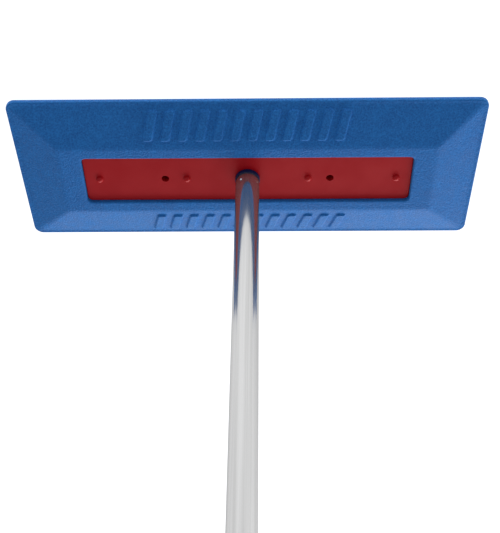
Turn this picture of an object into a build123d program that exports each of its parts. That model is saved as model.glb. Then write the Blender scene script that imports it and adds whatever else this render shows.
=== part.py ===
"""Push-head snow rake: a wide foam head on a telescoping aluminium pole with a twist lock.

The head stands on its flat working face, with the origin at the centre of that face.
+X runs along the head, +Y across it and +Z up the pole to the end cap.
"""

from build123d import *
import os

# ---------------------------------------------------------------- driving dimensions, mm
# Foam head
head_length = 432.0
head_width = 160.6
rim_height = 14.4
rim_land = 4.0
bevel_run = 38.2
bevel_rise = 14.1
head_corner = 8.5
plateau_corner = 3.0
front_draft = 8.0
front_rise = 10.0
front_round = 8.0
rim_soften = 1.5
plateau_soften = 6.0
pocket_lip = 1.2

# Red plate let into the head's back
plate_length = 306.6
plate_width = 53.0
plate_thickness = 3.2
plate_corner = 4.5
plate_edge = 0.8
plate_recess = 3.4
plate_gap = 0.3
locating_xs = (-77.3, 77.3)
locating_radius = 3.6
boss_radius = 5.6

# Core plate, moulded into the foam behind the back plate
core_length = 292.0
core_width = 40.0
core_thickness = 3.0
core_corner = 8.0
core_bottom = 9.0

# Plate rivets: domed head, shank and flat foot
plate_rivet_xs = (-139.1, -56.9, 56.9, 139.1)
plate_rivet_head = 3.3
plate_rivet_shank = 2.5
plate_rivet_foot = 4.2
foot_height = 1.6

# Threaded joint of the pole in the plate's hub
stud_pitch = 5.08
stud_core = 7.9
stud_crest = 9.5
stud_turns = 3
stud_length = 17.0
thread_clearance = 0.2
hub_radius = 15.0
hub_bottom = 6.2

# Pole tubes and the tip between the upper one and the plate
upper_radius = 11.1
upper_wall = 1.0
upper_length = 590.0
lower_radius = 12.7
lower_wall = 0.9
lower_length = 582.0
mouth = 568.0
flange_radius = 11.5
flange_height = 4.0
tip_barrel = 32.0
total_length = 1168.0

# Crimps that hold the tip in the upper tube
crimp_height = 13.0
crimp_count = 4
crimp_start = 31.0
crimp_ball = 2.6
crimp_depth = 0.6

# Guide sleeve and plug at the upper tube's far end
sleeve_length = 48.0
plug_barrel = 22.0
plug_flange = 2.5
barrel_hollow = 7.5

# Gaps: pressed together, turning or sliding, and plainly clear
press_gap = 0.05
running_gap = 0.08
clear_gap = 0.15

# Twist lock
socket_length = 30.0
socket_wall = 2.1
web_height = 4.0
neck_length = 24.0
neck_inner = 12.6
neck_outer = 14.0
lock_pitch = 3.2
lock_crest = 14.9
lock_turns = 4
collet_lip = 1.5
collet_nose_length = 9.0
collet_slots = 6
slot_width = 1.2
collar_radius = 17.6
collar_nose = 15.0
collar_bore = 11.6
flute_count = 18
flute_radius = 2.2
flute_depth = 1.2
flute_margin = 7.0
clip_depth = 0.7
clip_height = 1.6
clip_opening = 9.0
wiper_outer = 13.0
wiper_height = 2.3

# Rivets through the tubes
rivet_shank = 1.6
rivet_head = 3.2
rivet_rise = 1.4

# Grip and end cap
grip_start = 950.0
grip_length = 182.0
grip_radius = 17.0
grip_round = 3.0
cap_barrel = 28.0
cap_flange_radius = 16.2
cap_flange_height = 4.0
cap_tab_radius = 12.0
cap_tab_thickness = 8.0
cap_soften = 1.5
hang_hole_radius = 4.5

# ---------------------------------------------------------------- places worked out from them
head_top = rim_height + bevel_rise
plateau_inset = rim_land + bevel_run
plate_top = head_top - plate_recess
plate_bottom = plate_top - plate_thickness
core_top = core_bottom + core_thickness
stud_bottom = plate_top - stud_length
stud_rings = [stud_bottom + stud_pitch * (0.6 + turn) for turn in range(stud_turns)]

upper_start = plate_top + flange_height
upper_end = upper_start + upper_length
upper_bore = upper_radius - upper_wall
lower_end = mouth + lower_length
lower_bore = lower_radius - lower_wall

web_bottom = mouth - web_height
neck_bottom = web_bottom - neck_length
socket_outer = lower_radius + press_gap + socket_wall
lock_rings = [web_bottom - 3.0 - lock_pitch * turn for turn in range(lock_turns)]
lock_rivet_height = mouth + 17.0

collet_outer = neck_inner - clear_gap
collet_cone = collet_outer + collet_lip
collet_tip = collet_outer - 0.4
collet_nose = neck_bottom - collet_nose_length
collet_shoulder = neck_bottom - 2.5

clip_low = neck_bottom + 1.5
clip_high = clip_low + clip_height
clip_inner = neck_outer - clip_depth
clip_outer = neck_outer + 0.9

collar_bottom = neck_bottom - collar_nose
collar_top = web_bottom - 0.4
collar_thread = neck_outer + clear_gap
relief_top = neck_bottom + 5.5
wiper_low = collar_bottom + 1.6
wiper_high = wiper_low + wiper_height

cap_rivet_height = lower_end - 9.0
cap_top = lower_end + cap_flange_height
tab_centre = total_length - cap_tab_radius
hang_hole_height = tab_centre + 4.0

os.makedirs("parts", exist_ok=True)


def write(part, name):
    """Labels a finished piece and writes it as one STEP file."""
    part.label = name
    export_step(part, f"parts/{name}.step")


def disc(radius, low, high, mode=Mode.ADD):
    """A round solid on the pole's axis, between two heights."""
    with BuildSketch(Plane.XY.offset(low)) as section:
        Circle(radius)
    extrude(section.sketch, amount=high - low, mode=mode)


def ring(inner, outer, low, high, mode=Mode.ADD):
    """A straight tube on the pole's axis, between two radii and two heights."""
    with BuildSketch(Plane.XY.offset(low)) as section:
        Circle(outer)
        Circle(inner, mode=Mode.SUBTRACT)
    extrude(section.sketch, amount=high - low, mode=mode)


def turned(points, mode=Mode.ADD):
    """Revolves a closed outline of (radius, height) points about the pole's axis."""
    with BuildSketch(Plane.XZ) as section:
        with BuildLine():
            Polyline(*points, close=True)
        make_face()
    revolve(section.sketch, axis=Axis.Z, mode=mode)


def thread_ring(root, crest, middle, pitch, mode=Mode.ADD, gap=0.0):
    """One trapezoid thread ring centred at a height; gap widens it all round for a groove."""
    half_crest = 0.185 * pitch + gap
    half_root = half_crest + 0.26 * (crest - root)
    buried = root - 0.5
    turned(
        (
            (buried, middle - half_root),
            (root, middle - half_root),
            (crest + gap, middle - half_crest),
            (crest + gap, middle + half_crest),
            (root, middle + half_root),
            (buried, middle + half_root),
        ),
        mode=mode,
    )


def round_holes(xs, radius, low, high):
    """Cuts upright round holes along the head's centre line."""
    with BuildSketch(Plane.XY.offset(low)) as section:
        with Locations(*[(x, 0) for x in xs]):
            Circle(radius)
    extrude(section.sketch, amount=high - low, mode=Mode.SUBTRACT)


def radial_pins(radius, height, count, start, inner, outer, mode=Mode.ADD):
    """Round pins square to the pole's axis, evenly spaced, from one distance out to another."""
    with Locations((0, 0, height)):
        with PolarLocations(inner, count, start):
            Cylinder(
                radius,
                outer - inner,
                rotation=(0, 90, 0),
                align=(Align.CENTER, Align.CENTER, Align.MIN),
                mode=mode,
            )


def dome_rivets(height, count, start, inner, surface):
    """Rivets whose heads are balls cut to the round surface that they sit on."""
    ball = (rivet_head**2 + rivet_rise**2) / (2 * rivet_rise)
    with Locations((0, 0, height)):
        with PolarLocations(surface + rivet_rise - ball, count, start):
            Sphere(ball)
    disc(surface + 0.02, height - 2 * ball, height + 2 * ball, mode=Mode.SUBTRACT)
    radial_pins(rivet_shank, height, count, start, inner, surface + 0.5)


# ================================================================ the head
# Closed-cell foam, moulded in one piece round the core plate: a rounded rim, a narrow
# flat land, four bevels and a flat plateau with the pocket for the back plate.
with BuildPart() as foam_head:
    with BuildSketch():
        RectangleRounded(head_length - 2 * front_draft, head_width - 2 * front_draft, head_corner)
    with BuildSketch(Plane.XY.offset(front_rise)):
        RectangleRounded(head_length, head_width, head_corner)
    loft(ruled=True)
    fillet(foam_head.faces().sort_by(Axis.Z)[0].edges(), front_round)
    with BuildSketch(Plane.XY.offset(front_rise)):
        RectangleRounded(head_length, head_width, head_corner)
    extrude(amount=rim_height - front_rise)
    fillet(foam_head.faces().sort_by(Axis.Z)[-1].edges(), rim_soften)
    with BuildSketch(Plane.XY.offset(rim_height)):
        RectangleRounded(
            head_length - 2 * rim_land, head_width - 2 * rim_land, head_corner - rim_land
        )
    with BuildSketch(Plane.XY.offset(head_top)):
        RectangleRounded(
            head_length - 2 * plateau_inset, head_width - 2 * plateau_inset, plateau_corner
        )
    loft(ruled=True)
    fillet(foam_head.faces().sort_by(Axis.Z)[-1].edges(), plateau_soften)

    # pocket for the back plate, with a softened lip
    with BuildSketch(Plane.XY.offset(plate_bottom)):
        RectangleRounded(
            plate_length + 2 * plate_gap, plate_width + 2 * plate_gap, plate_corner + plate_gap
        )
    extrude(amount=head_top - plate_bottom, mode=Mode.SUBTRACT)
    fillet(foam_head.faces().sort_by(Axis.Z)[-1].inner_wires()[0].edges(), pocket_lip)

    # well for the hub, and the moulded-in space that the core plate fills
    disc(hub_radius + plate_gap, hub_bottom - plate_gap, plate_bottom, mode=Mode.SUBTRACT)
    with BuildSketch(Plane.XY.offset(core_bottom)):
        RectangleRounded(core_length, core_width, core_corner)
    extrude(amount=core_thickness, mode=Mode.SUBTRACT)

    # holes for the rivets and for the plate's hollow bosses
    round_holes(plate_rivet_xs, plate_rivet_shank + 0.1, core_top, plate_bottom)
    round_holes(plate_rivet_xs, plate_rivet_foot + 0.1, core_bottom - foot_height - 0.1, core_bottom)
    round_holes(locating_xs, boss_radius + plate_gap, core_top, plate_bottom)
write(foam_head.part, "foam_head")

# Red moulded plate that carries the pole: a threaded hub behind it, four rivet holes
# and two hollow bosses that stand on the core plate and held it in the foam mould.
with BuildPart() as back_plate:
    with BuildSketch(Plane.XY.offset(plate_bottom)):
        RectangleRounded(plate_length, plate_width, plate_corner)
    extrude(amount=plate_thickness)
    fillet(back_plate.faces().sort_by(Axis.Z)[-1].edges(), plate_edge)
    disc(hub_radius, hub_bottom, plate_bottom)
    with BuildSketch(Plane.XY.offset(core_top)):
        with Locations(*[(x, 0) for x in locating_xs]):
            Circle(boss_radius)
    extrude(amount=plate_bottom - core_top)
    disc(stud_core + thread_clearance, stud_bottom - 0.6, plate_top, mode=Mode.SUBTRACT)
    for height in stud_rings:
        thread_ring(
            stud_core + thread_clearance,
            stud_crest,
            height,
            stud_pitch,
            mode=Mode.SUBTRACT,
            gap=thread_clearance,
        )
    round_holes(plate_rivet_xs, plate_rivet_shank + 0.1, plate_bottom, plate_top)
    round_holes(locating_xs, locating_radius, core_top, plate_top)
write(back_plate.part, "back_plate")

# Stiffening plate inside the foam, which the rivets pull towards the back plate.
with BuildPart() as core_plate:
    with BuildSketch(Plane.XY.offset(core_bottom)):
        RectangleRounded(core_length, core_width, core_corner)
        Circle(hub_radius + plate_gap, mode=Mode.SUBTRACT)
    extrude(amount=core_thickness)
    round_holes(plate_rivet_xs, plate_rivet_shank + 0.1, core_bottom, core_top)
write(core_plate.part, "core_plate")

# Four plastic rivets through both plates: a domed head in view, a flat foot in the foam.
with BuildPart() as plate_rivets:
    with Locations(*[(x, 0, plate_top) for x in plate_rivet_xs]):
        Sphere(plate_rivet_head, arc_size1=0, align=(Align.CENTER, Align.CENTER, Align.MIN))
        Cylinder(
            plate_rivet_shank,
            plate_top - core_bottom,
            align=(Align.CENTER, Align.CENTER, Align.MAX),
        )
    with Locations(*[(x, 0, core_bottom) for x in plate_rivet_xs]):
        Cylinder(
            plate_rivet_foot, foot_height, align=(Align.CENTER, Align.CENTER, Align.MAX)
        )
write(plate_rivets.part, "plate_rivets")

# ================================================================ upper half of the pole
# Dark blue plastic tip: a threaded stud, a flange that seats on the plate and a barrel
# that the tube is crimped on to.
with BuildPart() as threaded_tip:
    disc(flange_radius, plate_top, upper_start)
    chamfer(threaded_tip.edges().filter_by(GeomType.CIRCLE), 0.4)
    disc(stud_core, stud_bottom, plate_top)
    chamfer(threaded_tip.edges().group_by(Axis.Z)[0], 1.0)
    for height in stud_rings:
        thread_ring(stud_core, stud_crest, height, stud_pitch)
    disc(upper_bore - press_gap, upper_start, upper_start + tip_barrel)
    chamfer(threaded_tip.edges().group_by(Axis.Z)[-1], 1.0)
write(threaded_tip.part, "threaded_tip")

# Bright aluminium tube that carries the head, with a ring of crimps near the plate.
with BuildPart() as upper_tube:
    ring(upper_bore, upper_radius, upper_start, upper_end)
    with Locations((0, 0, plate_top + crimp_height)):
        with PolarLocations(upper_radius + crimp_ball - crimp_depth, crimp_count, crimp_start):
            Sphere(crimp_ball, mode=Mode.SUBTRACT)
write(upper_tube.part, "upper_tube")

# Slippery plastic sleeve round the tube's far end: it centres the tube in the lower one
# and meets the lock's web when the pole is fully out.
with BuildPart() as guide_sleeve:
    ring(upper_radius + 0.02, lower_bore - running_gap, mouth + 0.1, mouth + sleeve_length)
    chamfer(guide_sleeve.edges().group_by(Axis.Z)[-1].sort_by(SortBy.RADIUS)[-1], 0.4)
write(guide_sleeve.part, "guide_sleeve")

# Hollow plug that closes the tube's far end and keeps the sleeve on.
with BuildPart() as end_plug:
    disc(lower_bore - 0.2, upper_end, upper_end + plug_flange)
    chamfer(end_plug.edges().group_by(Axis.Z)[-1], 0.6)
    disc(upper_bore - press_gap, upper_end - plug_barrel, upper_end)
    disc(barrel_hollow, upper_end - plug_barrel, upper_end - 2.0, mode=Mode.SUBTRACT)
write(end_plug.part, "end_plug")

# ================================================================ twist lock
# Split collet that the collar squeezes on to the upper tube: a ring in the neck, with a
# coned nose below it, slotted so that it can close.
with BuildPart() as lock_collet:
    turned(
        (
            (upper_radius + press_gap, collet_nose),
            (collet_tip, collet_nose),
            (collet_cone, collet_shoulder),
            (collet_cone, neck_bottom - 0.4),
            (collet_outer, neck_bottom - 0.4),
            (collet_outer, web_bottom - 0.3),
            (upper_radius + press_gap, web_bottom - 0.3),
        )
    )
    with BuildSketch(Plane.XY.offset(collet_nose)):
        with PolarLocations(collet_outer, collet_slots):
            Rectangle(2 * (collet_outer - upper_radius) + 3.0, slot_width)
    extrude(amount=neck_length, mode=Mode.SUBTRACT)
write(lock_collet.part, "lock_collet")

# Black socket riveted over the lower tube's mouth: a web that stops the guide sleeve,
# a flange, and a threaded neck that holds the collet.
with BuildPart() as lock_body:
    ring(lower_radius + press_gap, socket_outer, mouth, mouth + socket_length)
    chamfer(lock_body.edges().group_by(Axis.Z)[-1].sort_by(SortBy.RADIUS)[-1], 0.8)
    ring(upper_radius + running_gap, socket_outer, web_bottom, mouth)
    ring(socket_outer - 1.0, socket_outer + 2.0, web_bottom, mouth + 2.0)
    ring(neck_inner, neck_outer, neck_bottom, web_bottom)
    for height in lock_rings:
        thread_ring(neck_outer, lock_crest, height, lock_pitch)
    ring(clip_inner, neck_outer + 0.5, clip_low, clip_high, mode=Mode.SUBTRACT)
    radial_pins(
        rivet_shank + 0.1, lock_rivet_height, 2, 0, lower_bore, socket_outer + 1.0, Mode.SUBTRACT
    )
write(lock_body.part, "lock_body")

# Spring ring in the neck's groove; the collar's thread meets it before it can come off.
with BuildPart() as retaining_ring:
    ring(clip_inner + press_gap, clip_outer, clip_low + 0.1, clip_high - 0.1)
    with BuildSketch(Plane.XY.offset(clip_low)):
        with Locations((clip_outer, 0)):
            Rectangle(clip_outer, clip_opening)
    extrude(amount=clip_height, mode=Mode.SUBTRACT)
write(retaining_ring.part, "retaining_ring")

# Fluted collar that is twisted to lock the pole: its cone closes the collet's nose.
with BuildPart() as lock_collar:
    turned(
        (
            (collar_bore, collar_bottom),
            (collar_radius - 3.0, collar_bottom),
            (collar_radius - 0.6, collar_bottom + 4.0),
            (collar_radius, collar_bottom + 7.0),
            (collar_radius, collar_top - 1.0),
            (collar_radius - 1.0, collar_top),
            (collar_thread, collar_top),
            (collar_thread, relief_top),
            (clip_outer + 0.5, relief_top),
            (clip_outer + 0.5, neck_bottom - 0.2),
            (collet_cone + clear_gap, neck_bottom - 0.2),
            (collet_cone + clear_gap, collet_shoulder),
            (collet_tip + clear_gap, collet_nose - 0.2),
            (collar_bore, collet_nose - 0.2),
        )
    )
    for height in lock_rings:
        thread_ring(
            collar_thread, lock_crest, height, lock_pitch, mode=Mode.SUBTRACT, gap=thread_clearance
        )
    ring(
        collar_bore - 0.1, wiper_outer + 0.1, wiper_low - 0.1, wiper_high + 0.1, mode=Mode.SUBTRACT
    )
    with BuildSketch(Plane.XY.offset(collar_bottom + flute_margin)):
        with PolarLocations(collar_radius + flute_radius - flute_depth, flute_count):
            Circle(flute_radius)
    extrude(amount=collar_top - collar_bottom - 2 * flute_margin, mode=Mode.SUBTRACT)
write(lock_collar.part, "lock_collar")

# Rubber ring in the collar's nose that wipes snow and grit off the upper tube.
with BuildPart() as wiper_ring:
    ring(upper_radius + running_gap, wiper_outer, wiper_low, wiper_high)
    fillet(wiper_ring.edges().filter_by(GeomType.CIRCLE).sort_by(SortBy.RADIUS)[:2], 0.6)
write(wiper_ring.part, "wiper_ring")

# Two domed rivets, on opposite sides, that hold the socket on the lower tube.
with BuildPart() as lock_rivets:
    dome_rivets(lock_rivet_height, 2, 0, lower_bore + press_gap, socket_outer)
write(lock_rivets.part, "lock_rivets")

# ================================================================ lower half of the pole
# Wider aluminium tube that slides and turns over the upper one, drilled for its rivets.
with BuildPart() as lower_tube:
    ring(lower_bore, lower_radius, mouth + press_gap, lower_end)
    drill = rivet_shank + 0.1
    outside = lower_radius + 1.0
    radial_pins(drill, lock_rivet_height, 2, 0, barrel_hollow, outside, Mode.SUBTRACT)
    radial_pins(drill, cap_rivet_height, 1, 90, barrel_hollow, outside, Mode.SUBTRACT)
write(lower_tube.part, "lower_tube")

# Foam sleeve for the hands.
with BuildPart() as hand_grip:
    ring(lower_radius + press_gap, grip_radius, grip_start, grip_start + grip_length)
    fillet(hand_grip.edges().filter_by(GeomType.CIRCLE).sort_by(SortBy.RADIUS)[-2:], grip_round)
write(hand_grip.part, "hand_grip")

# Moulded cap: a flange on the tube's end, a flat tab with a hole to hang the rake by,
# and a hollow barrel inside the tube.
with BuildPart() as end_cap:
    with BuildSketch(Plane.XZ):
        with Locations((0, tab_centre)):
            Circle(cap_tab_radius)
        with Locations((0, lower_end)):
            Rectangle(
                2 * cap_tab_radius, tab_centre - lower_end, align=(Align.CENTER, Align.MIN)
            )
            Rectangle(
                4 * cap_tab_radius,
                2 * cap_tab_radius,
                align=(Align.CENTER, Align.MAX),
                mode=Mode.SUBTRACT,
            )
    extrude(amount=cap_tab_thickness / 2, both=True)
    fillet(end_cap.edges().filter_by(GeomType.CIRCLE), cap_soften)
    disc(cap_flange_radius, lower_end, cap_top)
    fillet(end_cap.edges().filter_by(GeomType.CIRCLE).group_by(SortBy.RADIUS)[-1], 1.2)
    disc(lower_bore - press_gap, lower_end - cap_barrel, lower_end)
    disc(barrel_hollow, lower_end - cap_barrel, lower_end - 2.0, mode=Mode.SUBTRACT)
    with BuildSketch(Plane.XZ):
        with Locations((0, hang_hole_height)):
            Circle(hang_hole_radius)
    extrude(amount=cap_tab_thickness, both=True, mode=Mode.SUBTRACT)
    radial_pins(
        rivet_shank + 0.1, cap_rivet_height, 1, 90, barrel_hollow - 1.0, lower_radius, Mode.SUBTRACT
    )
write(end_cap.part, "end_cap")

# One rivet through the tube into the cap's barrel.
with BuildPart() as cap_rivet:
    dome_rivets(cap_rivet_height, 1, 90, barrel_hollow + 0.5, lower_radius)
write(cap_rivet.part, "cap_rivet")
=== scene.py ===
"""Push-head snow rake: a blue moulded foam head with a red plate, on a bright telescoping pole.

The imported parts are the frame. The sections follow the rake as it is put together, from the
head up to the cap on the far end of the pole. Lengths are in metres, with the head's flat
working face on the floor and the pole upright along Z.
"""

import bpy
import math
import numpy as np
from mathutils import Matrix


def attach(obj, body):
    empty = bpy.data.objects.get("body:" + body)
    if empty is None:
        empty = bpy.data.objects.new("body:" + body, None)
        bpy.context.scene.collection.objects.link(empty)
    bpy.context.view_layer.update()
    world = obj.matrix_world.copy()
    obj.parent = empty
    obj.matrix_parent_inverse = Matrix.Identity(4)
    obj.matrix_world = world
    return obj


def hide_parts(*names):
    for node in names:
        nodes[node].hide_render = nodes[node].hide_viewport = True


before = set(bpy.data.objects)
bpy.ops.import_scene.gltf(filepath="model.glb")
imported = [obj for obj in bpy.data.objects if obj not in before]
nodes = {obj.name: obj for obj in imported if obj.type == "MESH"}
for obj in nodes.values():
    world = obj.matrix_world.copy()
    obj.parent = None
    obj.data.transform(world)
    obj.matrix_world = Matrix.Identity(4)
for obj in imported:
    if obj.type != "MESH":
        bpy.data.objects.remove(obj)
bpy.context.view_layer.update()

# ================================================================ foam head
# One block of closed-cell foam, moulded with a fine pebbled skin: a rounded rim, a narrow
# land, four bevels and a plateau with a pocket for the red plate. A plain row of slanted
# ribs stands up on both long bevels.
HEAD_HALF_X = 0.216
HEAD_HALF_Y = 0.0803
HEAD_CORNER = 0.0085
FRONT_DRAFT = 0.008
FRONT_RISE = 0.010
FRONT_ROUND = 0.008
FRONT_WALL_START = 0.0045
RIM_HEIGHT = 0.0144
RIM_SOFTEN = 0.0015
LAND = 0.004
LAND_INSETS = (0.0022, 0.0036)
BEVEL_RUN = 0.0382
BEVEL_RISE = 0.0141
BEVEL_ROWS = 58
FOOT_SHARE = 0.03
BROW_SHARE = 0.07
PLATEAU_CORNER = 0.003
PLATE_HALF_X = 0.1533
PLATE_HALF_Y = 0.0265
PLATE_CORNER = 0.0045
PLATE_BOTTOM = 0.0219
PLATE_TOP = 0.0251
POCKET_GAP = 0.0003
POCKET_LIP = 0.0012
HEAD_TOP = RIM_HEIGHT + BEVEL_RISE

HUB_WELL_RADIUS = 0.0153
HUB_WELL_BOTTOM = 0.0059
BOSS_XS = (-0.0773, 0.0773)
BOSS_HOLE_RADIUS = 0.0059
BOSS_HOLE_BOTTOM = 0.0120
CUTTER_TOP = 0.0230

RIB_ZONE = 0.098
RIB_ZONE_STATIONS = 300
OUTER_STATIONS = 34
END_STATIONS = 27
RIB_COUNT = 12
RIB_PITCH = 0.0158
RIB_HALF_WIDTH = 0.0042
RIB_MIDDLE = 0.0216
RIB_HALF_LENGTH = 0.0134
RIB_CORNER = 0.0022
RIB_SLANT = math.tan(math.radians(14.0))
RIB_RISE = 0.0020
RIB_EDGE = 0.0016


def quarter(start, end, steps):
    """Angles from start to end in degrees, in equal steps, in radians."""
    return np.radians(np.linspace(start, end, steps))


def stack(*rows):
    """Joins profile pieces, each (half length, half width, corner radius, height) rows."""
    return np.concatenate([np.stack(np.broadcast_arrays(*row), axis=1) for row in rows])


def inset_rows(inset, height):
    """Rows for a rounded rectangle that shrinks evenly from the head's outline by an inset."""
    return HEAD_HALF_X - inset, HEAD_HALF_Y - inset, HEAD_CORNER - inset, height


def front_rows():
    """Rows for the round edge of the working face and the slanted wall above it.

    The wall leans in by its draft towards the face, and the round edge touches both. The
    corners keep their radius on the wall and tighten only where the edge rolls under.
    """
    lean = math.atan2(FRONT_DRAFT, FRONT_RISE)
    centre = FRONT_DRAFT - FRONT_ROUND * math.tan(lean) + FRONT_ROUND / math.cos(lean)
    roll = np.linspace(0.0, math.pi / 2 - lean, 10)
    upper_wall = np.linspace(FRONT_WALL_START, FRONT_RISE, 5)
    height = np.append(FRONT_ROUND * (1 - np.cos(roll)), upper_wall)
    wall = FRONT_DRAFT * (1 - height / FRONT_RISE)
    inset = np.append(centre - FRONT_ROUND * np.sin(roll), wall[len(roll):])
    return HEAD_HALF_X - inset, HEAD_HALF_Y - inset, HEAD_CORNER - inset + wall, height


def head_profile():
    """From the working face round the rim, up the bevels, over the plateau and into the pocket.

    The quarter rounds are cosines and sines of an angle; the bevel blends every measure in
    proportion, and its foot and its brow are rounded by a short parabola.
    """
    soften = quarter(0, 90, 6)[1:]
    share = np.linspace(0.0, 1.0, BEVEL_ROWS)
    bevel_foot = np.array([HEAD_HALF_X - LAND, HEAD_HALF_Y - LAND, HEAD_CORNER - LAND, 0.0])
    bevel_brow = np.array([
        HEAD_HALF_X - LAND - BEVEL_RUN, HEAD_HALF_Y - LAND - BEVEL_RUN, PLATEAU_CORNER, 0.0
    ])
    bevel = bevel_foot + (bevel_brow - bevel_foot) * share[:, None]
    rise = share - np.clip(share - 1 + BROW_SHARE, 0, None) ** 2 / (4 * BROW_SHARE)
    rise = rise + np.clip(FOOT_SHARE - share, 0, None) ** 2 / (4 * FOOT_SHARE)
    bevel[:, 3] = RIM_HEIGHT + BEVEL_RISE * rise
    top = bevel[-1, 3]
    lip_x = PLATE_HALF_X + POCKET_GAP + POCKET_LIP
    lip_y = PLATE_HALF_Y + POCKET_GAP + POCKET_LIP
    lip_corner = PLATE_CORNER + POCKET_GAP + POCKET_LIP
    over = np.linspace(0.0, 1.0, 12)[1:]
    early = np.minimum(over * 6, 1)
    settle = top + (HEAD_TOP - top) * early * (2 - early)
    plateau = bevel[-1] + (np.array([lip_x, lip_y, lip_corner, 0.0]) - bevel[-1]) * over[:, None]
    plateau[:, 3] = settle
    lip = quarter(0, 90, 6)[1:]
    drop = POCKET_LIP * np.sin(lip)
    down = np.linspace(HEAD_TOP - POCKET_LIP, PLATE_BOTTOM, 5)[1:]
    return np.concatenate([
        stack(front_rows()),
        stack(inset_rows(0.0, np.linspace(FRONT_RISE, RIM_HEIGHT - RIM_SOFTEN, 4)[1:])),
        stack(inset_rows(
            RIM_SOFTEN * (1 - np.cos(soften)), RIM_HEIGHT - RIM_SOFTEN * (1 - np.sin(soften))
        )),
        stack(inset_rows(np.array(LAND_INSETS), RIM_HEIGHT)),
        bevel,
        plateau,
        stack((lip_x - drop, lip_y - drop, lip_corner - drop,
               HEAD_TOP - POCKET_LIP * (1 - np.cos(lip)))),
        stack((lip_x - POCKET_LIP, lip_y - POCKET_LIP, lip_corner - POCKET_LIP, down)),
    ])


def carried_round(profile):
    """Carries profile rows round rounded rectangles, as points of (rows, stations, 3).

    Straight sides hold their points in proportion, apart from the middle of the long ones,
    where each point keeps its own X so that the ribs stay sharp. Corner points turn about
    the corner's centre.
    """
    half_x, half_y, corner, height = (profile[:, i, None] for i in range(4))
    middle = np.linspace(-RIB_ZONE, RIB_ZONE, RIB_ZONE_STATIONS)
    outer = np.linspace(0.0, 1.0, OUTER_STATIONS)[1:]
    reach = half_x - corner - RIB_ZONE
    along = np.concatenate([
        -RIB_ZONE - outer[::-1] * reach,
        np.broadcast_to(middle, (len(profile), len(middle))),
        RIB_ZONE + outer * reach,
    ], axis=1)
    across = (half_y - corner) * np.linspace(-1.0, 1.0, END_STATIONS)
    turn = quarter(0, 90, 11)[1:-1]
    flat = np.zeros_like(along)
    upright = np.zeros_like(across)
    sides = (
        (half_x + upright, across, 0),
        (-along, half_y + flat, 90),
        (-half_x + upright, -across, 180),
        (along, -half_y + flat, 270),
    )
    xs, ys = [], []
    for side_x, side_y, start in sides:
        angle = turn + math.radians(start)
        centre_x = np.sign(math.cos(math.radians(start + 45))) * (half_x - corner)
        centre_y = np.sign(math.sin(math.radians(start + 45))) * (half_y - corner)
        xs += [side_x, centre_x + corner * np.cos(angle)]
        ys += [side_y, centre_y + corner * np.sin(angle)]
    x = np.concatenate(xs, axis=1)
    y = np.concatenate(ys, axis=1)
    return np.stack([x, y, np.broadcast_to(height, x.shape)], axis=2)


def rib_rise(x, y):
    """How far the ribs stand up at a place on the head.

    Each rib is a slanted bar with rounded corners. The distance to the nearest bar's edge
    goes through a smooth step, so its sides are soft. The two long bevels match when the
    head is turned half round.
    """
    side = np.sign(y)
    inset = HEAD_HALF_Y - np.abs(y)
    shifted = -side * x + (inset - RIB_MIDDLE) * -RIB_SLANT
    first = -(RIB_COUNT - 1) / 2 * RIB_PITCH
    index = np.clip(np.round((shifted - first) / RIB_PITCH), 0, RIB_COUNT - 1)
    from_bar = np.abs(shifted - first - index * RIB_PITCH) - RIB_HALF_WIDTH + RIB_CORNER
    from_end = np.abs(inset - RIB_MIDDLE) - RIB_HALF_LENGTH + RIB_CORNER
    outside = np.hypot(np.clip(from_bar, 0, None), np.clip(from_end, 0, None))
    distance = outside + np.minimum(np.maximum(from_bar, from_end), 0) - RIB_CORNER
    ramp = np.clip(0.5 - distance / RIB_EDGE, 0, 1)
    return RIB_RISE * ramp * ramp * (3 - 2 * ramp)


def with_ribs(points):
    """Lifts the long bevels' points along the bevel's own normal by the ribs' rise."""
    x, y, z = points[..., 0], points[..., 1], points[..., 2]
    slope = math.hypot(BEVEL_RUN, BEVEL_RISE)
    on_bevel = (z > RIM_HEIGHT) & (np.abs(y) > HEAD_HALF_Y - LAND - BEVEL_RUN)
    rise = np.where(on_bevel, rib_rise(x, y), 0.0)
    lifted = points.copy()
    lifted[..., 1] += np.sign(y) * rise * BEVEL_RISE / slope
    lifted[..., 2] += rise * BEVEL_RUN / slope
    return lifted


def loop_faces(rows, stations):
    """Four-sided faces between neighbouring closed rows of points."""
    row = np.arange(rows - 1)[:, None] * stations
    here = np.arange(stations)
    there = (here + 1) % stations
    return np.stack([row + here, row + there, row + stations + there, row + stations + here],
                    axis=-1).reshape(-1, 4)


def new_piece(name, points, faces, ends=()):
    """A smooth-shaded mesh object at the origin from points, faces and end faces."""
    mesh = bpy.data.meshes.new(name)
    mesh.from_pydata(points.reshape(-1, 3), [], [*faces.tolist(), *ends])
    mesh.validate()
    mesh.shade_smooth()
    piece = bpy.data.objects.new(name, mesh)
    bpy.context.scene.collection.objects.link(piece)
    return piece


def crease(piece, degrees=40.0):
    """Marks edges sharper than an angle, so that only they break the smooth shading."""
    piece.data.set_sharp_from_angle(angle=math.radians(degrees))


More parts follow.
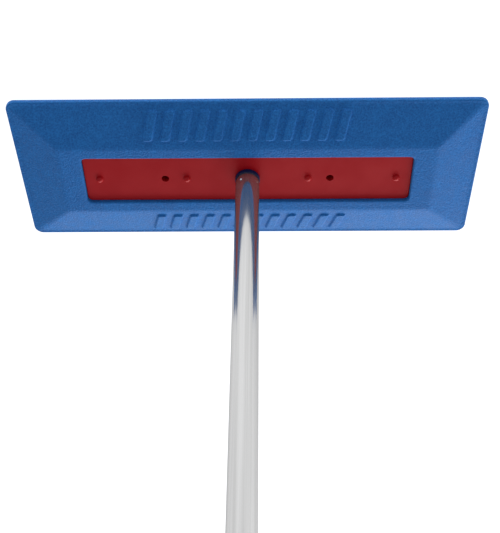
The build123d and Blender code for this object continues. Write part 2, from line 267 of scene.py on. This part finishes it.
def upright_cutter(places, radius, low, high, sides=48):
    """Closed round cutters that stand at places on the head's centre line."""
    angle = np.arange(sides) * 2 * math.pi / sides
    circle = np.stack([radius * np.cos(angle), radius * np.sin(angle)], axis=1)
    points, faces = [], []
    for x in places:
        base = len(points) * sides
        for height in (low, high):
            level = np.full(sides, height)
            points.append(np.column_stack([circle[:, 0] + x, circle[:, 1], level]))
        here = np.arange(sides)
        there = (here + 1) % sides
        faces += (base + np.stack([here, there, there + sides, here + sides], axis=1)).tolist()
        faces.append((base + here[::-1]).tolist())
        faces.append((base + sides + here).tolist())
    mesh = bpy.data.meshes.new("cutter")
    mesh.from_pydata(np.concatenate(points), [], faces)
    cutter = bpy.data.objects.new("cutter", mesh)
    bpy.context.scene.collection.objects.link(cutter)
    return cutter


def cut(piece, cutter):
    """Takes the cutter's volume out of the piece for good and throws the cutter away."""
    saw = piece.modifiers.new("saw", "BOOLEAN")
    saw.operation = "DIFFERENCE"
    saw.solver = "EXACT"
    saw.object = cutter
    bpy.context.view_layer.update()
    shape = piece.evaluated_get(bpy.context.evaluated_depsgraph_get())
    mesh = bpy.data.meshes.new_from_object(shape)
    piece.modifiers.clear()
    piece.data = mesh
    bpy.data.objects.remove(cutter)


class Reading:
    """A shader socket that sums can be written with; each step adds one Math node."""

    def __init__(self, finish, socket):
        self.finish = finish
        self.socket = socket

    def math(self, operation, *values):
        return self.finish.add("ShaderNodeMath", {"operation": operation}, dict(enumerate(values)))

    def __add__(self, other):
        return self.math("ADD", self, other)

    def __sub__(self, other):
        return self.math("SUBTRACT", self, other)

    def __rsub__(self, other):
        return self.math("SUBTRACT", other, self)

    def __mul__(self, other):
        return self.math("MULTIPLY", self, other)

    __radd__ = __add__
    __rmul__ = __mul__


class Finish:
    """A material for one kind of surface, built by adding nodes to its main shader."""

    def __init__(self, name, **constants):
        self.material = bpy.data.materials.new(name)
        self.material.use_nodes = True
        self.tree = self.material.node_tree
        self.shader = self.tree.nodes["Principled BSDF"]
        for socket, value in constants.items():
            self.shader.inputs[socket.replace("_", " ")].default_value = value

    def add(self, kind, settings, sockets, output=0):
        """Adds a node, makes its settings, fills its sockets and hands back one output."""
        node = self.tree.nodes.new(kind)
        for setting, value in settings.items():
            setattr(node, setting, value)
        for socket, value in sockets.items():
            self.fill(node.inputs[socket], value)
        return Reading(self, node.outputs[output])

    def fill(self, socket, value):
        """Links a reading to a socket, or sets the socket's own value."""
        if isinstance(value, Reading):
            self.tree.links.new(value.socket, socket)
        else:
            socket.default_value = value

    def place(self, scale=(1.0, 1.0, 1.0)):
        """Coordinates on the object in metres, stretched by a scale."""
        here = self.add("ShaderNodeTexCoord", {}, {}, "Object")
        return self.add("ShaderNodeMapping", {}, {"Vector": here, "Scale": scale})

    def noise(self, place, scale, detail=2.0, roughness=0.5):
        """Cloudy noise from 0 to 1 whose lumps are about 1/scale metres across."""
        sockets = {"Vector": place, "Scale": scale, "Detail": detail, "Roughness": roughness}
        return self.add("ShaderNodeTexNoise", {}, sockets)

    def between(self, low, high, share):
        """A colour part way from one to the other by a share that varies."""
        sockets = {0: share, 6: (*low, 1.0), 7: (*high, 1.0)}
        return self.add("ShaderNodeMix", {"data_type": "RGBA"}, sockets, 2)

    def limit(self, value, low, high, to_low=0.0, to_high=1.0):
        """Stretches a band of values to another, held at its ends."""
        sockets = {"Value": value, "From Min": low, "From Max": high,
                   "To Min": to_low, "To Max": to_high}
        return self.add("ShaderNodeMapRange", {"clamp": True}, sockets)

    def surface(self, colour, roughness, height, depth, strength=1.0):
        """Joins colour, roughness and a bump height to the main shader."""
        sockets = {"Height": height, "Distance": depth, "Strength": strength}
        bump = self.add("ShaderNodeBump", {}, sockets)
        self.fill(self.shader.inputs["Base Color"], colour)
        self.fill(self.shader.inputs["Roughness"], roughness)
        self.fill(self.shader.inputs["Normal"], bump)
        return self.material


def dress(piece, material):
    """Gives a piece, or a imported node, one material all over."""
    piece.data.materials.clear()
    piece.data.materials.append(material)


foam = Finish("moulded_blue_foam", Sheen_Weight=0.14, Sheen_Roughness=0.4,
              Sheen_Tint=(0.40, 0.76, 1.0, 1.0), Specular_IOR_Level=0.2)
foam_place = foam.place()
foam_beads = foam.add("ShaderNodeTexVoronoi", {"feature": "SMOOTH_F1"},
                      {"Vector": foam_place, "Scale": 620.0, "Smoothness": 0.6})
foam_speck = foam.noise(foam_place, 750.0, 3.0, 0.65)
foam_cloud = foam.noise(foam_place, 90.0, 3.0)
foam_tone = foam.limit(foam_speck * 0.6 + foam_beads * 0.4 + foam_cloud * 0.3, 0.42, 0.84)
foam_blue = foam.surface(
    foam.between((0.011, 0.121, 0.418), (0.023, 0.212, 0.632), foam_tone),
    foam.limit(foam_cloud, 0.3, 0.7, 0.56, 0.68),
    foam_speck * 0.5 + (1.0 - foam_beads) * 0.7,
    0.0006,
    0.9,
)

head_points = with_ribs(carried_round(head_profile()))
head_rows, head_stations = head_points.shape[:2]
head = new_piece(
    "foam_head_block",
    head_points,
    loop_faces(head_rows, head_stations),
    (list(range(head_stations))[::-1],
     list(range((head_rows - 1) * head_stations, head_rows * head_stations))),
)
cut(head, upright_cutter((0.0,), HUB_WELL_RADIUS, HUB_WELL_BOTTOM, CUTTER_TOP, 72))
cut(head, upright_cutter(BOSS_XS, BOSS_HOLE_RADIUS, BOSS_HOLE_BOTTOM, CUTTER_TOP))
crease(head)
dress(head, foam_blue)
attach(head, "head_and_upper_tube")
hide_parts("foam_head")

# ================================================================ red plate and core plate
# Injection-moulded red plate with a satin skin, let into the foam and riveted to the pale
# core plate inside it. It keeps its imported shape, with its soft edge and two deep holes.
red = Finish("moulded_red_plastic", Specular_IOR_Level=0.2)
red_place = red.place()
red_grain = red.noise(red_place, 2600.0, 2.0)
red_cloud = red.noise(red_place, 45.0, 2.0)
red_plastic = red.surface(
    red.between((0.435, 0.004, 0.009), (0.460, 0.005, 0.010), red.limit(red_cloud, 0.35, 0.65)),
    red.limit(red_cloud + red_grain * 0.3, 0.4, 0.9, 0.33, 0.42),
    red_grain,
    0.00006,
    0.5,
)
dress(nodes["back_plate"], red_plastic)

pale = Finish("pale_plastic", Specular_IOR_Level=0.5)
pale_grain = pale.noise(pale.place(), 900.0)
pale_plastic = pale.surface(
    pale.between((0.62, 0.60, 0.54), (0.70, 0.68, 0.62), pale_grain),
    pale.limit(pale_grain, 0.3, 0.7, 0.38, 0.5),
    pale_grain,
    0.00004,
)
dress(nodes["core_plate"], pale_plastic)

# ================================================================ plate rivets
# Four plastic rivets in the plate's own red. Their smooth round heads stand on the plate,
# and their shanks and flat feet hold the core plate.
RIVET_XS = (-0.1391, -0.0569, 0.0569, 0.1391)
RIVET_HEAD = 0.0033
RIVET_SHANK = 0.0025
RIVET_FOOT = 0.0042
FOOT_TOP = 0.0090
FOOT_BOTTOM = 0.0074
FOOT_EDGE = 0.0003
FOOT_FLAT = 0.0008
RIVET_SIDES = 40


def turned(profile, sides, centre=(0.0, 0.0)):
    """Turns (radius, height) points about an upright axis, as points of (rows, sides, 3)."""
    angle = np.arange(sides) * 2 * math.pi / sides
    radius, height = np.asarray(profile, float).T[:, :, None]
    x = centre[0] + radius * np.cos(angle)
    y = centre[1] + radius * np.sin(angle)
    return np.stack([x, y, np.broadcast_to(height, x.shape)], axis=2)


def capped(rows, sides, first=0):
    """Faces of a turned shape that starts and ends on a small round face."""
    ends = ([first + i for i in range(sides)][::-1],
            [first + (rows - 1) * sides + i for i in range(sides)])
    return loop_faces(rows, sides) + first, ends


dome = quarter(0, 88, 12)
rivet_profile = [
    (FOOT_FLAT, FOOT_BOTTOM), (RIVET_FOOT - FOOT_EDGE, FOOT_BOTTOM),
    (RIVET_FOOT, FOOT_BOTTOM + FOOT_EDGE), (RIVET_FOOT, FOOT_TOP),
    (RIVET_SHANK, FOOT_TOP), (RIVET_SHANK, PLATE_TOP),
    *zip(RIVET_HEAD * np.cos(dome), PLATE_TOP + RIVET_HEAD * np.sin(dome)),
]
rivet_points, rivet_faces, rivet_ends = [], [], []
for number, x in enumerate(RIVET_XS):
    one = turned(rivet_profile, RIVET_SIDES, (x, 0.0))
    rows = len(rivet_profile)
    faces, ends = capped(rows, RIVET_SIDES, number * rows * RIVET_SIDES)
    rivet_points.append(one)
    rivet_faces.append(faces)
    rivet_ends += ends
rivets = new_piece("plate_rivet_set", np.concatenate(rivet_points),
                   np.concatenate(rivet_faces), rivet_ends)
crease(rivets)
rivet_red = Finish("rivet_red_plastic", Specular_IOR_Level=0.22)
rivet_grain = rivet_red.noise(rivet_red.place(), 1800.0)
dress(rivets, rivet_red.surface(
    rivet_red.between((0.49, 0.007, 0.011), (0.55, 0.009, 0.014), rivet_grain),
    rivet_red.limit(rivet_grain, 0.3, 0.7, 0.34, 0.44),
    rivet_grain,
    0.00003,
))
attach(rivets, "head_and_upper_tube")
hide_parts("plate_rivets")

# ================================================================ threaded tip
# Dark blue moulded tip: its stud screws into the plate's hub, and its flange is the thin
# ring seen between the plate and the tube.
navy = Finish("navy_plastic", Specular_IOR_Level=0.15)
navy_grain = navy.noise(navy.place(), 1600.0)
dress(nodes["threaded_tip"], navy.surface(
    navy.between((0.004, 0.015, 0.078), (0.006, 0.020, 0.100), navy_grain),
    navy.limit(navy_grain, 0.3, 0.7, 0.46, 0.58),
    navy_grain,
    0.00003,
))

# ================================================================ upper tube
# Drawn aluminium tube, polished bright, with faint lengthwise draw lines. Four round
# crimps near the plate hold the tip in it.
UPPER_RADIUS = 0.0111
UPPER_BORE = 0.0101
UPPER_START = 0.0291
UPPER_END = 0.6191
CRIMP_HEIGHT = 0.0381
CRIMP_START = 31.0
CRIMP_REACH = 0.0025
CRIMP_DEPTH = 0.0008
CRIMP_SPAN = 0.0026
CRIMP_COUNT = 4
TUBE_SOFT = 0.0002
TUBE_SIDES = 288


def tube(bore, radius, low, high, sides, heights=()):
    """A tube's points from its bore round both softened ends, with extra rows at heights."""
    soft = TUBE_SOFT
    rows = [(bore, low + soft), (bore + soft, low), (radius - soft, low), (radius, low + soft)]
    rows += [(radius, height) for height in heights]
    rows += [(radius, high - soft), (radius - soft, high)]
    rows += [(bore + soft, high), (bore, high - soft)]
    return turned(rows, sides)


def around(rows, sides):
    """Faces of a turned shape whose last row joins its first, as on a tube."""
    index = np.arange(rows)[:, None] * sides
    after = (np.arange(rows)[:, None] + 1) % rows * sides
    here = np.arange(sides)
    there = (here + 1) % sides
    corners = [index + here, index + there, after + there, after + here]
    return np.stack(corners, axis=-1).reshape(-1, 4)


def crimped(points, height, count, start):
    """Presses round dimples into a tube: each point near one moves in by a cosine bell."""
    x, y, z = points[..., 0], points[..., 1], points[..., 2]
    radius = np.hypot(x, y)
    step = 2 * math.pi / count
    from_crimp = (np.arctan2(y, x) - math.radians(start) + step / 2) % step - step / 2
    distance = np.hypot(from_crimp * radius, z - height) / CRIMP_REACH
    press = CRIMP_DEPTH * (0.5 + 0.5 * np.cos(math.pi * np.clip(distance, 0, 1)))
    share = 1 - np.where(radius > (UPPER_BORE + UPPER_RADIUS) / 2, press, 0.0) / radius
    return np.stack([x * share, y * share, z], axis=2)


bright = Finish("bright_aluminium", Metallic=0.87, Specular_Tint=(0.52, 0.52, 0.53, 1.0))
bright_lines = bright.noise(bright.place((1.0, 1.0, 0.004)), 1500.0, 3.0)
bright_bands = bright.noise(bright.place((1.0, 1.0, 0.010)), 270.0, 2.0)
bright_cloud = bright.noise(bright.place(), 28.0, 2.0)
bright_tube = bright.surface(
    bright.between((0.470, 0.468, 0.466), (0.610, 0.609, 0.609),
                   bright.limit(bright_bands * 0.8 + bright_lines * 0.2, 0.34, 0.66)),
    bright.limit(bright_cloud + bright_lines * 0.5, 0.5, 1.0, 0.13, 0.18),
    bright_lines,
    0.00002,
    0.25,
)

crimp_rows = CRIMP_HEIGHT + np.linspace(-CRIMP_SPAN, CRIMP_SPAN, 27)
upper_rows = np.linspace(0.06, 0.60, 19)
upper_points = crimped(
    tube(UPPER_BORE, UPPER_RADIUS, UPPER_START, UPPER_END, TUBE_SIDES, (*crimp_rows, *upper_rows)),
    CRIMP_HEIGHT, CRIMP_COUNT, CRIMP_START,
)
upper = new_piece("upper_tube_drawn", upper_points, around(len(upper_points), TUBE_SIDES))
crease(upper, 50.0)
dress(upper, bright_tube)
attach(upper, "head_and_upper_tube")
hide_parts("upper_tube")

# ================================================================ sleeve and plug inside the pole
# Pale slippery sleeve and black hollow plug at the upper tube's far end. They show only
# when the pole is taken apart or seen through its mouth.
black = Finish("black_plastic", Specular_IOR_Level=0.5)
black_grain = black.noise(black.place(), 1400.0, 3.0)
black_cloud = black.noise(black.place(), 60.0)
black_plastic = black.surface(
    black.between((0.012, 0.012, 0.013), (0.021, 0.021, 0.023), black_cloud),
    black.limit(black_cloud + black_grain * 0.4, 0.4, 0.9, 0.38, 0.52),
    black_grain,
    0.00006,
    0.6,
)
dress(nodes["guide_sleeve"], pale_plastic)
dress(nodes["end_plug"], black_plastic)

# ================================================================ twist lock
# Black socket with a threaded neck, riveted over the lower tube's mouth. Inside are a pale
# split collet and a spring ring; a fluted blue collar with a rubber wiper squeezes it shut.
COLLAR_RADIUS = 0.0176
COLLAR_BORE = 0.0116
COLLAR_LOW = 0.5250
COLLAR_HIGH = 0.5636
FLUTES = 18
FLUTE_DEPTH = 0.0012
FLUTE_LOW = 0.5322
FLUTE_HIGH = 0.5564
FLUTE_FADE = 0.002
COLLAR_SKIN = 0.0008
COLLAR_EDGE = 0.0010
COLLAR_SIDES = 360
WIPER_SEAT = 0.01313
WIPER_LOW = 0.5265
WIPER_HIGH = 0.5290
CONE_SMALL = (0.01225, 0.5308)
CONE_LARGE = (0.0141, 0.5373)
RELIEF_LOW = 0.5398
RELIEF_RADIUS = 0.0154
RELIEF_HIGH = 0.5455
COLLAR_THREAD = 0.01515


def fluted(points, count, depth, low, high):
    """Sinks flutes into a turned shape: a raised cosine round it that fades at both ends."""
    x, y, z = points[..., 0], points[..., 1], points[..., 2]
    radius = np.hypot(x, y)
    wave = np.clip(np.cos(count * np.arctan2(y, x)) * 1.5 - 0.2, 0, 1)
    fade = np.clip((z - low) / FLUTE_FADE, 0, 1) * np.clip((high - z) / FLUTE_FADE, 0, 1)
    sunk = depth * wave * wave * (3 - 2 * wave) * fade * (3 - 2 * fade) * fade
    share = 1 - np.where(radius > COLLAR_RADIUS - COLLAR_SKIN, sunk, 0.0) / radius
    return np.stack([x * share, y * share, z], axis=2)


blue = Finish("collar_blue_plastic", Specular_IOR_Level=0.5)
blue_grain = blue.noise(blue.place(), 1500.0, 2.0)
blue_cloud = blue.noise(blue.place(), 70.0)
blue_plastic = blue.surface(
    blue.between((0.012, 0.070, 0.240), (0.018, 0.095, 0.300), blue_cloud),
    blue.limit(blue_cloud + blue_grain * 0.4, 0.4, 0.9, 0.34, 0.46),
    blue_grain,
    0.00005,
    0.5,
)
collar_edge = quarter(0, 90, 7)
collar_nose = (
    (0.00005, 0.5322), (0.0002, 0.5312), (0.0006, 0.5292), (0.0015, 0.5273), (0.0026, 0.5256),
    (0.0034, 0.5251), (0.0040, COLLAR_LOW),
)
collar_profile = [
    (WIPER_SEAT, WIPER_LOW), (WIPER_SEAT, WIPER_HIGH), (COLLAR_BORE, WIPER_HIGH),
    (COLLAR_BORE, CONE_SMALL[1]), CONE_SMALL, CONE_LARGE, (CONE_LARGE[0], RELIEF_LOW),
    (RELIEF_RADIUS, RELIEF_LOW), (RELIEF_RADIUS, RELIEF_HIGH),
    (COLLAR_THREAD, RELIEF_HIGH), (COLLAR_THREAD, COLLAR_HIGH),
    *zip(COLLAR_RADIUS - COLLAR_EDGE + COLLAR_EDGE * np.sin(collar_edge),
         COLLAR_HIGH - COLLAR_EDGE + COLLAR_EDGE * np.cos(collar_edge)),
    *[(COLLAR_RADIUS, height) for height in np.linspace(0.5610, 0.5330, 57)],
    *[(COLLAR_RADIUS - drop, height) for drop, height in collar_nose],
    (COLLAR_BORE + 0.0003, COLLAR_LOW), (COLLAR_BORE, COLLAR_LOW + 0.0003),
    (COLLAR_BORE, WIPER_LOW),
]
collar_turned = turned(collar_profile, COLLAR_SIDES)
collar_points = fluted(collar_turned, FLUTES, FLUTE_DEPTH, FLUTE_LOW, FLUTE_HIGH)
collar = new_piece(
    "lock_collar_fluted", collar_points, around(len(collar_profile), COLLAR_SIDES)
)
crease(collar)
dress(collar, blue_plastic)
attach(collar, "collar")
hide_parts("lock_collar")

steel = Finish("spring_steel", Metallic=1.0)
steel_lines = steel.noise(steel.place((1.0, 1.0, 9.0)), 500.0, 3.0)
dress(nodes["retaining_ring"], steel.surface(
    steel.between((0.42, 0.43, 0.45), (0.56, 0.57, 0.59), steel_lines),
    steel.limit(steel_lines, 0.3, 0.7, 0.28, 0.42),
    steel_lines,
    0.00002,
))

rubber = Finish("black_rubber", Specular_IOR_Level=0.4)
rubber_grain = rubber.noise(rubber.place(), 1100.0, 3.0)
dress(nodes["wiper_ring"], rubber.surface(
    rubber.between((0.010, 0.010, 0.010), (0.018, 0.018, 0.018), rubber_grain),
    rubber.limit(rubber_grain, 0.3, 0.7, 0.62, 0.78),
    rubber_grain,
    0.00006,
))

rivet_metal = Finish("rivet_aluminium", Metallic=1.0)
rivet_cloud = rivet_metal.noise(rivet_metal.place(), 700.0, 2.0)
rivet_aluminium = rivet_metal.surface(
    rivet_metal.between((0.70, 0.70, 0.72), (0.80, 0.80, 0.81), rivet_cloud),
    rivet_metal.limit(rivet_cloud, 0.3, 0.7, 0.22, 0.36),
    rivet_cloud,
    0.00003,
)
dress(nodes["lock_rivets"], rivet_aluminium)
dress(nodes["lock_body"], black_plastic)
dress(nodes["lock_collet"], pale_plastic)

# ================================================================ lower tube
# Wider tube of the same bright drawn aluminium, which slides and turns over the upper one.
# The lock's socket is riveted on its mouth, and the grip and the cap are on its far end.
LOWER_RADIUS = 0.0127
LOWER_BORE = 0.0118
LOWER_START = 0.56805
LOWER_END = 1.1500
lower_rows = np.linspace(0.58, 1.14, 15)
lower_points = tube(LOWER_BORE, LOWER_RADIUS, LOWER_START, LOWER_END, TUBE_SIDES, lower_rows)
lower = new_piece("lower_tube_drawn", lower_points, around(len(lower_points), TUBE_SIDES))
crease(lower, 50.0)
dress(lower, bright_tube)
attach(lower, "lower_pole")
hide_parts("lower_tube")

# ================================================================ hand grip
# Soft black foam sleeve pushed on to the lower tube, with rounded ends and a fine open
# skin. Shallow rings pressed round it help the hands to hold it.
GRIP_RADIUS = 0.0170
GRIP_BORE = 0.01275
GRIP_LOW = 0.9500
GRIP_HIGH = 1.1320
GRIP_ROUND = 0.0030
GRIP_RINGS = 9
GRIP_RING_DEPTH = 0.0004
GRIP_RING_SHARPNESS = 9
GRIP_EDGE = 0.0005
GRIP_SIDES = 144


def grip_profile():
    """The grip's half section: straight bore, rounded ends and shallow rings along it."""
    turn = quarter(0, 90, 9)
    height = np.linspace(GRIP_LOW + GRIP_ROUND, GRIP_HIGH - GRIP_ROUND, 240)[1:-1]
    along = (height - GRIP_LOW) / (GRIP_HIGH - GRIP_LOW) * (GRIP_RINGS + 1)
    from_ring = np.abs(along - np.clip(np.round(along), 1, GRIP_RINGS))
    valley = np.clip(1 - from_ring * GRIP_RING_SHARPNESS, 0, 1)
    radius = GRIP_RADIUS - GRIP_RING_DEPTH * valley * valley * (3 - 2 * valley)
    rounded = GRIP_RADIUS - GRIP_ROUND
    return [
        (GRIP_BORE, GRIP_LOW + GRIP_EDGE), (GRIP_BORE + GRIP_EDGE, GRIP_LOW),
        *zip(rounded + GRIP_ROUND * np.sin(turn), GRIP_LOW + GRIP_ROUND * (1 - np.cos(turn))),
        *zip(radius, height),
        *zip(rounded + GRIP_ROUND * np.cos(turn), GRIP_HIGH - GRIP_ROUND * (1 - np.sin(turn))),
        (GRIP_BORE + GRIP_EDGE, GRIP_HIGH), (GRIP_BORE, GRIP_HIGH - GRIP_EDGE),
    ]


grip_rows = grip_profile()
grip = new_piece(
    "hand_grip_sleeve", turned(grip_rows, GRIP_SIDES), around(len(grip_rows), GRIP_SIDES)
)
crease(grip, 60.0)
soft_black = Finish("black_grip_foam", Sheen_Weight=0.25, Sheen_Roughness=0.5,
                    Specular_IOR_Level=0.3)
soft_place = soft_black.place()
soft_cells = soft_black.add("ShaderNodeTexVoronoi", {"feature": "SMOOTH_F1"},
                            {"Vector": soft_place, "Scale": 900.0, "Smoothness": 0.4})
soft_cloud = soft_black.noise(soft_place, 110.0, 3.0)
dress(grip, soft_black.surface(
    soft_black.between((0.010, 0.010, 0.011), (0.026, 0.026, 0.028),
                       soft_black.limit(soft_cells + soft_cloud * 0.6, 0.4, 1.1)),
    soft_black.limit(soft_cloud, 0.3, 0.7, 0.76, 0.90),
    soft_cells,
    0.0003,
    0.6,
))
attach(grip, "lower_pole")
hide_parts("hand_grip")

# ================================================================ end cap
# Black moulded cap with a flat tab and a hole to hang the rake by. Its barrel is pushed
# into the lower tube and held there by one aluminium rivet.
dress(nodes["end_cap"], black_plastic)
dress(nodes["cap_rivet"], rivet_aluminium)

# ================================================================ floor, light and camera
# Plain white floor under plain soft light: a broad light behind the head and to one side,
# a low one in front of its rim, and a pale surround.
floor_mesh = bpy.data.meshes.new("floor")
floor_reach = 40
floor_corners = [(-1, -1, 0), (1, -1, 0), (1, 1, 0), (-1, 1, 0)]
floor_mesh.from_pydata((np.array(floor_corners) * floor_reach).tolist(), [], [(0, 1, 2, 3)])
floor = bpy.data.objects.new("floor", floor_mesh)
bpy.context.scene.collection.objects.link(floor)
white = Finish("white_floor", Specular_IOR_Level=0.0, Emission_Color=(1.0, 1.0, 1.0, 1.0),
               Emission_Strength=1.0)
white_grain = white.noise(white.place(), 3.0)
dress(floor, white.surface(
    white.between((0.38, 0.38, 0.38), (0.42, 0.42, 0.42), white_grain),
    white.limit(white_grain, 0.3, 0.7, 0.9, 1.0),
    white_grain,
    0.0001,
    0.1,
))


def soft_light(name, place, aim, width, height, power):
    """A broad rectangle of light at a place, turned to face an aim point."""
    lamp = bpy.data.lights.new(name, "AREA")
    lamp.shape = "RECTANGLE"
    lamp.size = width
    lamp.size_y = height
    lamp.energy = power
    light = bpy.data.objects.new(name, lamp)
    back = np.subtract(place, aim)
    back = back / np.linalg.norm(back)
    right = np.cross((0.0, 0.0, 1.0), back)
    right = right / np.linalg.norm(right)
    up = np.cross(back, right)
    light.matrix_world = Matrix([
        (right[0], up[0], back[0], place[0]),
        (right[1], up[1], back[1], place[1]),
        (right[2], up[2], back[2], place[2]),
        (0.0, 0.0, 0.0, 1.0),
    ])
    light.visible_camera = False
    bpy.context.scene.collection.objects.link(light)


soft_light("light_behind", (-0.5, 1.7, 0.55), (0.0, 0.0, 0.05), width=2.6, height=1.0, power=32.0)
soft_light("light_side", (-1.6, 0.1, 0.5), (0.0, 0.0, 0.05), width=1.4, height=0.9, power=3.8)
soft_light("light_low", (0.0, -1.3, 0.06), (0.0, 0.0, 0.0), width=2.4, height=0.10, power=1.2)

surround = bpy.data.worlds.new("pale_surround")
surround.use_nodes = True
background = surround.node_tree.nodes["Background"]
background.inputs["Color"].default_value = (0.93, 0.96, 1.0, 1.0)
background.inputs["Strength"].default_value = 0.39
bpy.context.scene.world = surround
bpy.context.scene.view_settings.view_transform = "Standard"

CAMERA_PLACE = (-0.01698, -0.57618, 0.69745)
CAMERA_TILT = math.radians(44.027)
CAMERA_TURN = -0.02362
CAMERA_ROLL = 0.01248
SIGHT_LENGTH = 938.3
IMAGE_HEIGHT = 533.0
camera_data = bpy.data.cameras.new("camera")
camera_data.sensor_width = 36.0
camera_data.lens = SIGHT_LENGTH / IMAGE_HEIGHT * camera_data.sensor_width
camera_data.clip_start = 0.01
camera = bpy.data.objects.new("camera", camera_data)
across = (-1.0, 0.0, 0.0)
above = (0.0, -math.sin(CAMERA_TILT), -math.cos(CAMERA_TILT))
behind = (0.0, -math.cos(CAMERA_TILT), math.sin(CAMERA_TILT))
turn_camera = Matrix((across, above, behind)).transposed().to_4x4()
camera.matrix_world = (
    Matrix.Translation(CAMERA_PLACE)
    @ Matrix.Rotation(CAMERA_TURN, 4, "Z")
    @ turn_camera
    @ Matrix.Rotation(CAMERA_ROLL, 4, "Z")
)
bpy.context.scene.collection.objects.link(camera)
bpy.context.scene.camera = camera
